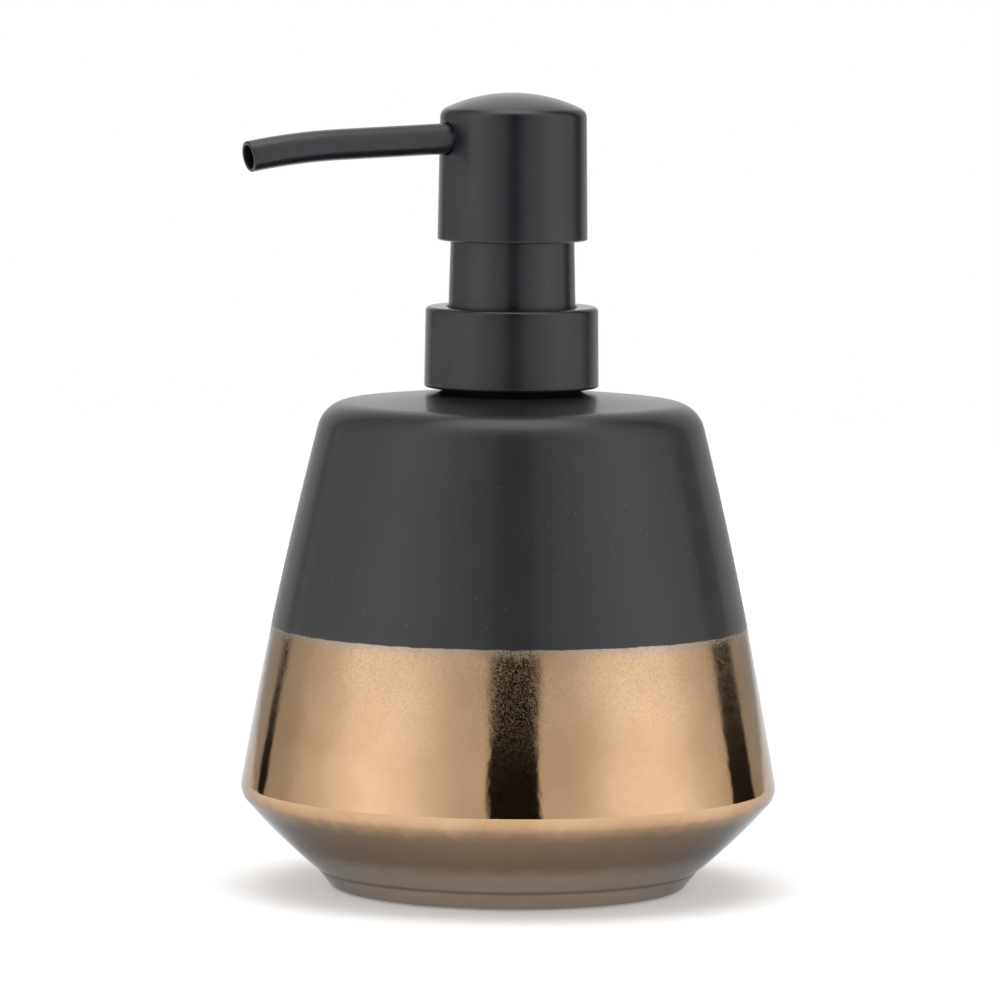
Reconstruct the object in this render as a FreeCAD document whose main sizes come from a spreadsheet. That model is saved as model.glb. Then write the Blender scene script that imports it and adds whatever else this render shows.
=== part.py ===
import FreeCAD, Part
import math
import os

import Sketcher

# A counter-top soap dispenser: a glazed stoneware bottle with a lotion pump screwed on its neck.
#
# Frame: +Z up, origin on the bottle's axis at the plane that the dispenser stands on, and the
# spout points along -X.  Lengths are millimetres and angles are degrees.  Heights whose names
# end in _z are measured from that plane; widths are given as radii.

PARTS_FOLDER = "parts"
SHEET = "Sizes"

DRIVING_SIZES = [
    # the stoneware bottle, outside
    ("foot_z", 0.4, "underside of the foot ring"),
    ("foot_radius", 34.6, "foot ring, where it meets the table"),
    ("foot_band_z", 3.7, "crease between the foot band and the bowl"),
    ("foot_band_radius", 37.3, "foot band at that crease"),
    ("foot_round", 1.2, "rounding under the foot band"),
    ("belly_z", 18.8, "widest height"),
    ("belly_radius", 52.6, "widest radius, before rounding"),
    ("belly_round", 3.2, "rounding of the belly edge"),
    ("bowl_curve", 72.0, "radius of the bowl's wall, foot to belly"),
    ("flank_curve", 1000.0, "radius of the flank's wall, belly to shoulder"),
    ("shoulder_z", 94.7, "shoulder corner, before rounding"),
    ("shoulder_radius", 36.5, "shoulder corner, before rounding"),
    ("shoulder_round", 6.2, "rounding of the shoulder"),
    ("shoulder_curve", 130.0, "radius of the shoulder's crown"),
    ("neck_root_z", 97.0, "where the shoulder meets the neck"),
    ("neck_radius", 13.4, "stoneware neck, outside"),
    ("neck_root_round", 1.3, "fillet between shoulder and neck"),
    ("lip_z", 99.1, "top of the stoneware neck"),
    ("lip_round", 0.6, "rounding of the lip"),
    # the stoneware bottle, inside
    ("recess_radius", 30.0, "recess inside the foot ring"),
    ("recess_z", 2.0, "roof of that recess"),
    ("floor_z", 6.4, "inner floor"),
    ("wall", 4.6, "wall of bowl and flank"),
    ("ceiling_z", 91.2, "inner ceiling under the shoulder"),
    ("inner_round", 4.0, "rounding of the inner corners"),
    ("mouth_radius", 11.2, "bore of the stoneware neck"),
    ("foot_top_z", 7.0, "where the foot section ends and the bowl section begins"),
    ("flank_top_z", 88.0, "where the flank section ends and the shoulder section begins"),
    # the pad in the foot recess
    ("pad_radius", 28.5, "foam pad"),
    ("pad_round", 0.3, "rounding of the pad's rim"),
    # the threaded ring cemented into the neck
    ("ring_bore", 9.8, "clear bore of the ring"),
    ("spigot_radius", 10.9, "part of the ring inside the neck"),
    ("spigot_z", 92.1, "lower end of that part"),
    ("flange_radius", 13.3, "flange lying on the lip"),
    ("flange_top_z", 100.3, "top of the flange"),
    ("barrel_radius", 12.6, "threaded barrel, at the thread's root"),
    ("barrel_top_z", 108.3, "sealing rim of the ring"),
    ("cement_z", 92.9, "lower end of the cement between ring and neck"),
    # the neck thread: one start, right hand
    ("thread_pitch", 4.2, "rise for one turn"),
    ("thread_crest", 13.7, "crest radius of the ring's thread"),
    ("thread_sink", 0.3, "depth to which a thread's root is sunk in its wall"),
    ("ring_thread_z", 101.5, "centre of the ring's thread at its start"),
    ("ring_thread_turns", 1.35, "turns of thread on the ring"),
    ("ring_thread_root", 2.0, "width of the ring's thread at the barrel"),
    ("ring_thread_tip", 1.1, "width of the ring's thread at its crest"),
    ("cap_thread_z", 101.6, "centre of the closure's thread at its start"),
    ("cap_thread_turns", 1.4, "turns of thread in the closure"),
    ("cap_thread_root", 1.6, "width of the closure's thread at its wall"),
    ("cap_thread_tip", 0.8, "width of the closure's thread at its crest"),
    ("cap_thread_drop", 1.45, "how far the closure's thread lies under the ring's"),
    ("cap_thread_crest", 12.85, "crest radius of the closure's thread"),
    # the closure and the collar shell pressed over it
    ("cap_bore", 13.95, "closure's wall behind its thread"),
    ("cap_radius", 15.7, "outside of the closure, inside of the collar shell"),
    ("cap_foot_z", 100.7, "lower end of the closure"),
    ("web_z", 110.6, "underside of the closure's web"),
    ("web_top_z", 112.4, "top of the closure's web"),
    ("web_hole", 8.6, "hole in the closure's web"),
    ("collar_z", 98.0, "lower end of the collar shell"),
    ("collar_top_z", 113.7, "top of the collar shell"),
    ("collar_radius", 17.0, "collar shell at its lower end"),
    ("collar_top_radius", 16.8, "collar shell at its top, less by the draft"),
    ("collar_hole", 12.75, "hole in the collar shell's top"),
    ("collar_top_round", 0.9, "rounding of the collar's top edge"),
    ("collar_foot_round", 0.5, "rounding of the collar's lower edge"),
    # the pump housing
    ("gasket_thickness", 0.8, "foam gasket on the ring's rim"),
    ("gasket_bore", 7.0, "gasket, inside"),
    ("housing_flange", 12.4, "flange of the housing"),
    ("housing_flange_thickness", 1.4, "flange of the housing"),
    ("housing_radius", 6.6, "barrel of the housing"),
    ("housing_bore", 5.6, "pump chamber"),
    ("housing_neck_radius", 7.9, "neck of the housing, through the closure's web"),
    ("housing_neck_z", 112.6, "top of that neck"),
    ("chamber_floor_z", 71.3, "floor of the pump chamber"),
    ("cone_top_z", 69.9, "outside cone under the barrel, top"),
    ("cone_foot_z", 66.7, "outside cone under the barrel, foot"),
    ("tail_radius", 4.2, "tail that takes the dip tube"),
    ("tail_z", 58.1, "lower end of the tail"),
    ("valve_well", 2.9, "well around the inlet ball"),
    ("seat_bore", 1.4, "hole under the inlet ball"),
    ("seat_z", 66.6, "lower edge of the conical seat"),
    ("socket_z", 64.6, "stop for the dip tube"),
    ("vent_radius", 0.6, "vent hole in the barrel"),
    ("vent_z", 101.6, "height of the vent hole"),
    # the dip tube
    ("tube_radius", 2.8, "dip tube, outside"),
    ("tube_bore", 2.0, "dip tube, inside"),
    ("tube_z", 9.2, "lower end of the dip tube"),
    ("tube_slant", 3.0, "height of the slanting cut at that end"),
    # the inlet valve
    ("ball_radius", 2.0, "inlet ball"),
    ("ball_gap", 0.01, "lift that keeps the ball off its seat"),
    ("retainer_radius", 5.55, "retainer above the ball"),
    ("retainer_thickness", 1.4, "retainer above the ball"),
    ("retainer_boss", 2.9, "boss that centres the spring"),
    ("retainer_boss_height", 1.0, "that boss"),
    ("retainer_slot_radius", 0.75, "flow holes in the retainer"),
    ("retainer_slot_circle", 2.0, "circle that they lie on"),
    # the return spring
    ("spring_coil", 3.7, "middle of the wire"),
    ("spring_wire", 0.4, "radius of the wire"),
    ("spring_turns", 6.5, "turns"),
    # the valve post, the piston and the stem
    ("post_spigot", 2.9, "end of the post inside the spring"),
    ("post_spigot_length", 2.0, "that end"),
    ("post_seat_z", 92.1, "underside of the post's head, on the spring"),
    ("post_head", 4.4, "head of the post, which closes the piston"),
    ("post_head_top_z", 94.1, "top of that head"),
    ("post_top_z", 105.1, "top of the post inside the stem"),
    ("post_flat", 1.4, "flats along the post, from its axis"),
    ("piston_radius", 5.55, "lips of the piston"),
    ("piston_waist", 4.6, "waist between the lips"),
    ("piston_bore", 3.08, "bore that slides on the stem"),
    ("piston_height", 8.5, "height of the piston"),
    ("piston_lip", 1.5, "height of each lip"),
    ("piston_float", 1.5, "lost motion of the piston on the stem"),
    ("stem_skirt", 3.0, "lower end of the stem, inside the piston"),
    ("stem_skirt_z", 99.1, "lower end of the stem"),
    ("stem_stop", 5.0, "flange that stops the stem under the chaplet"),
    ("stem_stop_thickness", 1.9, "that flange"),
    ("stem_radius", 3.5, "stem"),
    ("stem_bore", 2.2, "flow channel"),
    ("stem_top_z", 144.7, "top of the stem"),
    # the chaplet and the guide sleeve
    ("chaplet_z", 106.1, "lower end of the chaplet's plug"),
    ("chaplet_bore", 3.58, "hole that guides the stem"),
    ("chaplet_disc_z", 112.6, "underside of the chaplet's disc"),
    ("chaplet_disc", 11.0, "chaplet's disc, inside the guide sleeve"),
    ("chaplet_disc_thickness", 1.8, "chaplet's disc"),
    ("chaplet_boss", 5.4, "boss round the stem"),
    ("chaplet_boss_z", 117.7, "top of that boss"),
    ("sleeve_z", 112.6, "lower end of the guide sleeve"),
    ("sleeve_top_z", 130.0, "top of the guide sleeve"),
    ("sleeve_radius", 12.4, "guide sleeve at its lower end"),
    ("sleeve_top_radius", 11.95, "guide sleeve at its top"),
    ("sleeve_round", 0.35, "rounding of its top edge"),
    # the head
    ("head_z", 126.6, "lower rim of the head"),
    ("head_radius", 14.6, "head at its lower rim"),
    ("head_shoulder_z", 151.7, "where the dome starts, before rounding"),
    ("head_shoulder_radius", 14.24, "head at that height"),
    ("head_shoulder_round", 1.6, "rounding between side and dome"),
    ("head_top_z", 155.2, "crown of the dome"),
    ("head_rim_round", 0.35, "rounding of the lower rim"),
    ("head_bore", 13.0, "inside of the head"),
    ("head_roof", 1.4, "thickness of the dome"),
    ("dome_edge_z", 151.0, "inside of the dome at the head's wall"),
    ("core_tube", 5.2, "core's tube round the stem"),
    ("core_z", 133.1, "lower end of that tube"),
    ("core_socket", 3.55, "socket for the stem"),
    ("core_socket_z", 144.8, "roof of that socket"),
    ("core_disc_z", 149.0, "underside of the core's disc"),
    ("core_disc_thickness", 1.4, "core's disc"),
    ("core_boss", 3.9, "boss round the spout"),
    ("rib_z", 146.1, "lower edge of the core's ribs"),
    ("rib_thickness", 1.2, "core's ribs"),
    # the spout
    ("spout_z", 147.0, "where the spout's line meets the head's axis"),
    ("spout_tilt", 2.35, "angle at which the spout leaves the head, downwards"),
    ("spout_radius", 3.0, "spout tube, outside"),
    ("spout_bore", 2.3, "spout tube, inside"),
    ("spout_root", 4.6, "inner end of the spout, from the head's axis"),
    ("spout_straight", 36.6, "end of its straight run, from the head's axis"),
    ("spout_curve", 136.0, "radius of its bend"),
    ("spout_drop", 8.15, "angle of its bend"),
    ("spout_round", 0.25, "rounding of the tip's edges"),
    ("spout_hole", 3.25, "hole in the head for the spout"),
    ("spout_hole_z", 146.43, "height of that hole"),
]


class Size:
    """A length or angle: its number, and the spreadsheet expression that gives the number."""

    def __init__(self, value, text):
        self.value = float(value)
        self.text = text

    @staticmethod
    def of(other):
        return other if isinstance(other, Size) else Size(other, repr(float(other)))

    def __add__(self, other):
        other = Size.of(other)
        return Size(self.value + other.value, f"({self.text} + {other.text})")

    def __sub__(self, other):
        other = Size.of(other)
        return Size(self.value - other.value, f"({self.text} - {other.text})")

    def __mul__(self, other):
        other = Size.of(other)
        return Size(self.value * other.value, f"({self.text} * {other.text})")

    def __truediv__(self, other):
        other = Size.of(other)
        return Size(self.value / other.value, f"({self.text} / {other.text})")

    def __neg__(self):
        return Size(-self.value, f"(-{self.text})")


class SizeTable:
    """The spreadsheet's aliases as attributes, each one a Size."""

    def __init__(self, rows):
        for alias, value, _ in rows:
            setattr(self, alias, Size(value, f"{SHEET}.{alias}"))


def fill_sheet(rows):
    """Writes one row for each driving size: its alias, its plain number and what it is."""
    sheet = doc.addObject("Spreadsheet::Sheet", SHEET)
    for line, (alias, value, note) in enumerate(rows, start=1):
        sheet.set(f"A{line}", alias)
        sheet.set(f"B{line}", str(value))
        sheet.setAlias(f"B{line}", alias)
        sheet.set(f"C{line}", note)
    doc.recompute()


def bind(target, prop, size):
    """Ties a property to the spreadsheet."""
    target.setExpression(prop, Size.of(size).text)


def origin_plane(body, role):
    """One of a body's own origin planes."""
    return next(f for f in body.Origin.OriginFeatures if f.Role == role)


def new_body(name):
    body = doc.addObject("PartDesign::Body", name)
    body.Label = name
    return body


def new_sketch(body, name, plane, offset=None):
    """A sketch on one of its body's origin planes, moved along the plane's normal by offset."""
    sketch = body.newObject("Sketcher::SketchObject", name)
    sketch.AttachmentSupport = (origin_plane(body, plane), [""])
    sketch.MapMode = "FlatFace"
    if offset is not None:
        bind(sketch, ".AttachmentOffset.Base.z", offset)
    return sketch


def arc_centre(start, end, radius):
    """Centre of the arc that runs counter-clockwise from start to end and is under half a turn."""
    chord = end - start
    middle = (start + end) * 0.5
    reach = math.sqrt(radius**2 - (chord.Length / 2) ** 2)
    left = FreeCAD.Vector(-chord.y, chord.x, 0).normalize()
    return middle + left * reach


def draw_outline(sketch, corners):
    """Closed outline through corners (across, up) or (across, up, curve).  A curve is the radius
    of the arc that leaves that corner; a positive one runs counter-clockwise, a negative one
    clockwise.  Every corner's place and every curve is bound to the spreadsheet."""
    points = [FreeCAD.Vector(Size.of(c[0]).value, Size.of(c[1]).value, 0) for c in corners]
    count = len(corners)
    up = FreeCAD.Vector(0, 0, 1)
    starts = []
    for i, corner in enumerate(corners):
        here, there = points[i], points[(i + 1) % count]
        if len(corner) == 2:
            sketch.addGeometry(Part.LineSegment(here, there), False)
            starts.append((1, 2))
            continue
        radius = corner[2]
        backwards = radius.value < 0
        first, last = (there, here) if backwards else (here, there)
        centre = arc_centre(first, last, abs(radius.value))
        circle = Part.Circle(centre, up, abs(radius.value))
        angles = [math.atan2(p.y - centre.y, p.x - centre.x) for p in (first, last)]
        sketch.addGeometry(Part.ArcOfCircle(circle, *angles), False)
        starts.append((2, 1) if backwards else (1, 2))
    for i in range(count):
        after = (i + 1) % count
        sketch.addConstraint(
            Sketcher.Constraint("Coincident", i, starts[i][1], after, starts[after][0])
        )
    for i, corner in enumerate(corners):
        place_point(sketch, i, starts[i][0], corner[0], corner[1])
        if len(corner) == 3:
            radius = corner[2]
            size = -radius if radius.value < 0 else radius
            add_driven(sketch, Sketcher.Constraint("Radius", i, size.value), size)


def add_driven(sketch, constraint, size):
    """Adds a dimension to a sketch and binds it."""
    index = sketch.addConstraint(constraint)
    bind(sketch, f"Constraints[{index}]", size)


def place_point(sketch, geometry, vertex, across, up):
    """Dimensions a point from the sketch's axes; a point on an axis is held on it."""
    for kind, axis, size in (("DistanceX", -2, across), ("DistanceY", -1, up)):
        size = Size.of(size)
        if size.value == 0:
            sketch.addConstraint(Sketcher.Constraint("PointOnObject", geometry, vertex, axis))
        elif size.value > 0:
            wanted = Sketcher.Constraint(kind, -1, 1, geometry, vertex, size.value)
            add_driven(sketch, wanted, size)
        else:
            wanted = Sketcher.Constraint(kind, geometry, vertex, -1, 1, -size.value)
            add_driven(sketch, wanted, -size)


def draw_circle(sketch, radius, across, up):
    """A circle whose centre and radius are bound to the spreadsheet."""
    centre = FreeCAD.Vector(Size.of(across).value, Size.of(up).value, 0)
    circle = Part.Circle(centre, FreeCAD.Vector(0, 0, 1), radius.value)
    index = sketch.addGeometry(circle, False)
    place_point(sketch, index, 3, across, up)
    add_driven(sketch, Sketcher.Constraint("Radius", index, radius.value), radius)


def turned(name, corners):
    """A body turned about +Z from one closed outline of (radius, height) corners."""
    body = new_body(name)
    sketch = new_sketch(body, f"{name}_outline", "XZ_Plane")
    draw_outline(sketch, corners)
    turning = body.newObject("PartDesign::Revolution", f"{name}_turning")
    turning.Profile = sketch
    turning.ReferenceAxis = (sketch, ["V_Axis"])
    turning.Angle = 360
    doc.recompute()
    return body


def round_edges(body, name, radius, circles):
    """Fillets the circular edges about +Z that lie at the given (radius, height) places."""
    base = body.Tip
    picked = []
    for place in circles:
        wanted = [Size.of(x).value for x in place]
        for number, edge in enumerate(base.Shape.Edges, start=1):
            curve = edge.Curve
            if not isinstance(curve, Part.Circle):
                continue
            miss = max(abs(curve.Radius - wanted[0]), abs(curve.Center.z - wanted[1]))
            if miss < 0.02 and math.hypot(curve.Center.x, curve.Center.y) < 0.02:
                picked.append(f"Edge{number}")
                break
        else:
            raise RuntimeError(f"{name}: no edge of radius {wanted[0]} at height {wanted[1]}")
    fillet = body.newObject("PartDesign::Fillet", name)
    fillet.Base = (base, picked)
    bind(fillet, "Radius", radius)
    body.Tip = fillet
    doc.recompute()


def cut_hole(body, name, plane, radius, across, up, reverse, length):
    """Drills a round hole from an origin plane; reverse picks the side that it runs to."""
    before = body.Shape.Volume
    sketch = new_sketch(body, f"{name}_circle", plane)
    draw_circle(sketch, radius, across, up)
    pocket = body.newObject("PartDesign::Pocket", name)
    pocket.Profile = sketch
    pocket.Type = "Length"
    bind(pocket, "Length", length)
    pocket.Reversed = reverse
    doc.recompute()
    if not body.Shape.Volume < before - 1e-3:
        raise RuntimeError(f"{name} cuts nothing")
    return pocket


def spin_copies(body, features, name, copies):
    """Repeats features evenly about +Z."""
    pattern = body.newObject("PartDesign::PolarPattern", name)
    pattern.Originals = features
    axis = next(f for f in body.Origin.OriginFeatures if f.Role == "Z_Axis")
    pattern.Axis = (axis, [""])
    pattern.Angle = 360
    pattern.Occurrences = copies
    body.Tip = pattern
    doc.recompute()


def thread(name, wall, crest, root_width, tip_width, start_z, start_turn, turns):
    """A right-hand thread of trapezoid section, swept along a helix.  The section's root is sunk
    into the wall that carries it, on the side away from the crest."""
    helix = doc.addObject("Part::Helix", f"{name}_helix")
    bind(helix, "Pitch", S.thread_pitch)
    bind(helix, "Height", S.thread_pitch * turns)
    bind(helix, "Radius", wall)
    bind(helix, ".Placement.Base.z", start_z)
    helix.Placement = FreeCAD.Placement(
        FreeCAD.Vector(0, 0, start_z.value),
        FreeCAD.Rotation(FreeCAD.Vector(0, 0, 1), 360 * start_turn.value),
    )
    outward = crest.value > wall.value
    sink = S.thread_sink.value if outward else -S.thread_sink.value
    half_root, half_tip = root_width.value / 2, tip_width.value / 2
    flare = (half_root - half_tip) * abs(sink) / abs(crest.value - wall.value)
    section = [
        (wall.value - sink, -half_root - flare),
        (crest.value, -half_tip),
        (crest.value, half_tip),
        (wall.value - sink, half_root + flare),
    ]
    corners = [helix.Placement.multVec(FreeCAD.Vector(r, 0, z)) for r, z in section]
    profile = doc.addObject("Part::Feature", f"{name}_section")
    profile.Shape = Part.makePolygon(corners + corners[:1])
    sweep = doc.addObject("Part::Sweep", name)
    sweep.Sections = [profile]
    sweep.Spine = (helix, [])
    sweep.Solid = True
    sweep.Frenet = True
    doc.recompute()
    return sweep


def joined(name, base, tool, kind="Part::Fuse"):
    """A boolean of two objects, labelled as a finished sub-part."""
    result = doc.addObject(kind, name)
    result.Base = base
    result.Tool = tool
    result.Label = name
    doc.recompute()
    return result


# ---------------------------------------------------------------- the bottle and its foot pad


def make_stoneware():
    """Slip-cast stoneware: a low bowl, tall tapering flanks, a nearly flat shoulder, a neck."""
    inner_foot = S.foot_band_radius - S.wall + 1.4
    inner_belly = S.belly_radius - S.wall
    inner_shoulder = S.shoulder_radius - S.wall + 0.8
    body = turned(
        "stoneware",
        [
            (0, S.recess_z),
            (S.recess_radius, S.recess_z),
            (S.recess_radius, S.foot_z),
            (S.foot_radius, S.foot_z),
            (S.foot_band_radius, S.foot_band_z, S.bowl_curve),
            (S.belly_radius, S.belly_z, S.flank_curve),
            (S.shoulder_radius, S.shoulder_z, S.shoulder_curve),
            (S.neck_radius, S.neck_root_z),
            (S.neck_radius, S.lip_z),
            (S.mouth_radius, S.lip_z),
            (S.mouth_radius, S.ceiling_z),
            (inner_shoulder, S.ceiling_z - 0.6, -S.flank_curve),
            (inner_belly, S.belly_z + 0.9, -S.bowl_curve),
            (inner_foot, S.floor_z),
            (0, S.floor_z),
        ],
    )
    round_edges(body, "belly_rounding", S.belly_round, [(S.belly_radius, S.belly_z)])
    round_edges(body, "shoulder_rounding", S.shoulder_round, [(S.shoulder_radius, S.shoulder_z)])
    round_edges(body, "neck_fillet", S.neck_root_round, [(S.neck_radius, S.neck_root_z)])
    round_edges(body, "foot_rounding", S.foot_round, [(S.foot_radius, S.foot_z)])
    round_edges(
        body,
        "inner_rounding",
        S.inner_round,
        [
            (inner_shoulder, S.ceiling_z - 0.6),
            (inner_belly, S.belly_z + 0.9),
            (inner_foot, S.floor_z),
        ],
    )
    round_edges(body, "lip_rounding", S.lip_round, [(S.neck_radius, S.lip_z)])
    return body


def make_bottle_sections():
    """The stoneware as four stacked sections: foot, bowl, flanks, and shoulder with neck."""
    stoneware = make_stoneware()
    belly_z = S.belly_z + 0.9
    return [
        bottle_section("bottle_foot", stoneware, S.foot_z, S.foot_top_z),
        bottle_section("bottle_bowl", stoneware, S.foot_top_z, belly_z),
        bottle_section("bottle_flanks", stoneware, belly_z, S.flank_top_z),
        bottle_section("bottle_shoulder", stoneware, S.flank_top_z, S.lip_z),
    ]


def bottle_section(name, stoneware, low, high):
    """The part of the stoneware between two heights."""
    slab = doc.addObject("Part::Cylinder", f"{name}_slab")
    bind(slab, "Radius", S.belly_radius + 5)
    bind(slab, "Height", high - low)
    bind(slab, ".Placement.Base.z", low)
    return joined(name, stoneware, slab, "Part::Common")


def make_base_pad():
    """Die-cut foam disc stuck in the foot recess, a little proud of the foot ring."""
    body = turned(
        "base_pad",
        [(0, 0), (S.pad_radius, 0), (S.pad_radius, S.recess_z), (0, S.recess_z)],
    )
    round_edges(body, "pad_rounding", S.pad_round, [(S.pad_radius, 0)])
    return body


# ---------------------------------------------------------------- the neck ring and its cement


def make_neck_ring():
    """Moulded ring with the neck thread; its spigot is cemented into the stoneware."""
    blank = turned(
        "neck_ring_blank",
        [
            (S.ring_bore, S.spigot_z),
            (S.spigot_radius, S.spigot_z),
            (S.spigot_radius, S.lip_z),
            (S.flange_radius, S.lip_z),
            (S.flange_radius, S.flange_top_z),
            (S.barrel_radius, S.flange_top_z),
            (S.barrel_radius, S.barrel_top_z),
            (S.ring_bore, S.barrel_top_z),
        ],
    )
    screw = thread(
        "neck_thread",
        S.barrel_radius,
        S.thread_crest,
        S.ring_thread_root,
        S.ring_thread_tip,
        S.ring_thread_z,
        Size.of(0),
        S.ring_thread_turns,
    )
    return joined("neck_ring", blank, screw)


def make_ring_cement():
    """The bead of cured cement that fills the gap between the ring's spigot and the neck."""
    return turned(
        "ring_cement",
        [
            (S.spigot_radius, S.cement_z),
            (S.mouth_radius, S.cement_z),
            (S.mouth_radius, S.lip_z),
            (S.spigot_radius, S.lip_z),
        ],
    )


# ---------------------------------------------------------------- the closure and its shell


def make_closure():
    """Threaded closure with a web that clamps the housing's flange on the gasket."""
    blank = turned(
        "closure_blank",
        [
            (S.cap_bore, S.cap_foot_z),
            (S.cap_radius, S.cap_foot_z),
            (S.cap_radius, S.web_top_z),
            (S.web_hole, S.web_top_z),
            (S.web_hole, S.web_z),
            (S.cap_bore, S.web_z),
        ],
    )
    start_turn = (S.cap_thread_z + S.cap_thread_drop - S.ring_thread_z) / S.thread_pitch
    screw = thread(
        "closure_thread",
        S.cap_bore,
        S.cap_thread_crest,
        S.cap_thread_root,
        S.cap_thread_tip,
        S.cap_thread_z,
        start_turn,
        S.cap_thread_turns,
    )
    return joined("closure", blank, screw)


def make_collar_shell():
    """The visible collar: a drawn-over shell, slightly tapered, with a hole for the sleeve."""
    body = turned(
        "collar_shell",
        [
            (S.cap_radius, S.collar_z),
            (S.collar_radius, S.collar_z),
            (S.collar_top_radius, S.collar_top_z),
            (S.collar_hole, S.collar_top_z),
            (S.collar_hole, S.web_top_z),
            (S.cap_radius, S.web_top_z),
        ],
    )
    round_edges(
        body, "collar_top_rounding", S.collar_top_round, [(S.collar_top_radius, S.collar_top_z)]
    )
    round_edges(body, "collar_foot_rounding", S.collar_foot_round, [(S.collar_radius, S.collar_z)])
    return body


# ---------------------------------------------------------------- the pump's fixed pieces


def make_gasket():
    """Foam ring between the neck ring's rim and the housing's flange."""
    top = S.barrel_top_z + S.gasket_thickness
    return turned(
        "neck_gasket",
        [
            (S.gasket_bore, S.barrel_top_z),
            (S.housing_flange, S.barrel_top_z),
            (S.housing_flange, top),
            (S.gasket_bore, top),
        ],
    )


def make_housing():
    """Pump cylinder: flange and neck on top, chamber, conical ball seat, tail for the tube."""
    flange_z = S.barrel_top_z + S.gasket_thickness
    flange_top = flange_z + S.housing_flange_thickness
    seat_top = S.seat_z + S.valve_well - S.seat_bore
    body = turned(
        "pump_housing",
        [
            (S.tube_radius, S.tail_z),
            (S.tail_radius, S.tail_z),
            (S.tail_radius, S.cone_foot_z),
            (S.housing_radius, S.cone_top_z),
            (S.housing_radius, flange_z),
            (S.housing_flange, flange_z),
            (S.housing_flange, flange_top),
            (S.housing_neck_radius, flange_top),
            (S.housing_neck_radius, S.housing_neck_z),
            (S.housing_bore, S.housing_neck_z),
            (S.housing_bore, S.chamber_floor_z),
            (S.valve_well, S.chamber_floor_z),
            (S.valve_well, seat_top),
            (S.seat_bore, S.seat_z),
            (S.seat_bore, S.socket_z),
            (S.tube_radius, S.socket_z),
        ],
    )
    cut_hole(
        body,
        "vent_hole",
        "YZ_Plane",
        S.vent_radius,
        0,
        S.vent_z,
        True,
        S.housing_radius + 1,
    )
    return body


def make_chaplet():
    """Plug in the housing's top that guides the stem and carries the guide sleeve."""
    disc_top = S.chaplet_disc_z + S.chaplet_disc_thickness
    return turned(
        "chaplet",
        [
            (S.chaplet_bore, S.chaplet_z),
            (S.housing_bore, S.chaplet_z),
            (S.housing_bore, S.chaplet_disc_z),
            (S.chaplet_disc, S.chaplet_disc_z),
            (S.chaplet_disc, disc_top),
            (S.chaplet_boss, disc_top),
            (S.chaplet_boss, S.chaplet_boss_z),
            (S.chaplet_bore, S.chaplet_boss_z),
        ],
    )


def make_guide_sleeve():
    """Tapered sleeve between collar and head, which the head slides down over."""
    body = turned(
        "guide_sleeve",
        [
            (S.chaplet_disc, S.sleeve_z),
            (S.sleeve_radius, S.sleeve_z),
            (S.sleeve_top_radius, S.sleeve_top_z),
            (S.chaplet_disc, S.sleeve_top_z),
        ],
    )
    round_edges(body, "sleeve_rounding", S.sleeve_round, [(S.sleeve_top_radius, S.sleeve_top_z)])
    return body


def make_dip_tube():
    """Soft tube down to the floor of the bottle, its end cut on the slant."""
    body = turned(
        "dip_tube",
        [
            (S.tube_bore, S.tube_z),
            (S.tube_radius, S.tube_z),
            (S.tube_radius, S.socket_z),
            (S.tube_bore, S.socket_z),
        ],
    )
    before = body.Shape.Volume
    sketch = new_sketch(body, "slant_outline", "XZ_Plane")
    side = S.tube_radius + 0.5
    draw_outline(
        sketch,
        [
            (-side, S.tube_z - 0.5),
            (side, S.tube_z - 0.5),
            (side, S.tube_z + S.tube_slant),
        ],
    )
    slant = body.newObject("PartDesign::Pocket", "slant_cut")
    slant.Profile = sketch
    slant.Midplane = True
    slant.Type = "Length"
    bind(slant, "Length", S.tube_radius * 3)
    doc.recompute()
    if not body.Shape.Volume < before - 1:
        raise RuntimeError("slant_cut cuts nothing")
    return body


# ---------------------------------------------------------------- the valves and the spring


def make_inlet_ball():
    """Steel ball of the inlet valve, resting on the 45 degree seat."""
    ball = doc.addObject("Part::Sphere", "inlet_ball")
    bind(ball, "Radius", S.ball_radius)
    rise = S.ball_radius * math.sqrt(2)
    bind(ball, ".Placement.Base.z", S.seat_z - S.seat_bore + rise + S.ball_gap)
    ball.Label = "inlet_ball"
    doc.recompute()
    return ball


def make_ball_retainer():
    """Disc above the ball: it limits the ball's lift, lets soap through and seats the spring."""
    top = S.chamber_floor_z + S.retainer_thickness
    boss_top = top + S.retainer_boss_height
    body = turned(
        "ball_retainer",
        [
            (0, S.chamber_floor_z),
            (S.retainer_radius, S.chamber_floor_z),
            (S.retainer_radius, top),
            (S.retainer_boss, top),
            (S.retainer_boss, boss_top),
            (0, boss_top),
        ],
    )
    hole = cut_hole(
        body,
        "flow_hole",
        "XY_Plane",
        S.retainer_slot_radius,
        S.retainer_slot_circle,
        0,
        True,
        boss_top + 1,
    )
    spin_copies(body, [hole], "flow_holes", 4)
    return body


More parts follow.
